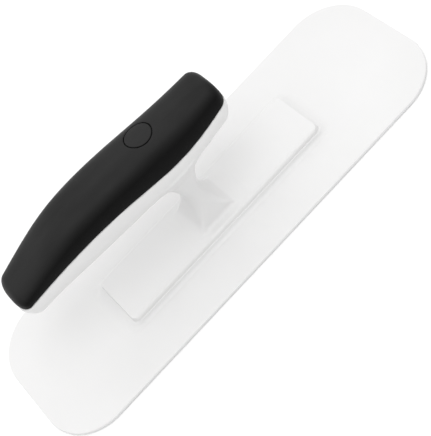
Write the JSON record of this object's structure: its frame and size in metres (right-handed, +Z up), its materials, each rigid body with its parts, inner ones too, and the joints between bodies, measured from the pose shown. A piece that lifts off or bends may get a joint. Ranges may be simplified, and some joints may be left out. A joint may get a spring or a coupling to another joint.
{
  "type": "hand float",
  "caption": "Finishing float with a flat round-cornered blade, a rectangular foot, a waisted post and a humped soft grip overhanging one side.",
  "frame": {"origin": "middle of the blade's flat working face", "axes": "+X along the blade, from the long end of the grip towards its short end; +Y across the blade; +Z up from the working face to the grip"},
  "size_m": [0.28, 0.1, 0.0837],
  "materials": {
    "moulding_white": "satin",
    "grip_black": "matte",
    "core_black": "matte",
    "zinc_steel": "satin",
    "insert_brass": "satin"
  },
  "bodies": {
    "root": {"blade": "moulding_white", "threaded_insert": "insert_brass", "carrier": "moulding_white", "grip_core": "core_black", "grip_skin": "grip_black", "screw_plug": "core_black", "tie_bolt": "zinc_steel", "flat_washer": "zinc_steel", "lock_washer": "zinc_steel"}
  },
  "joints": []
}
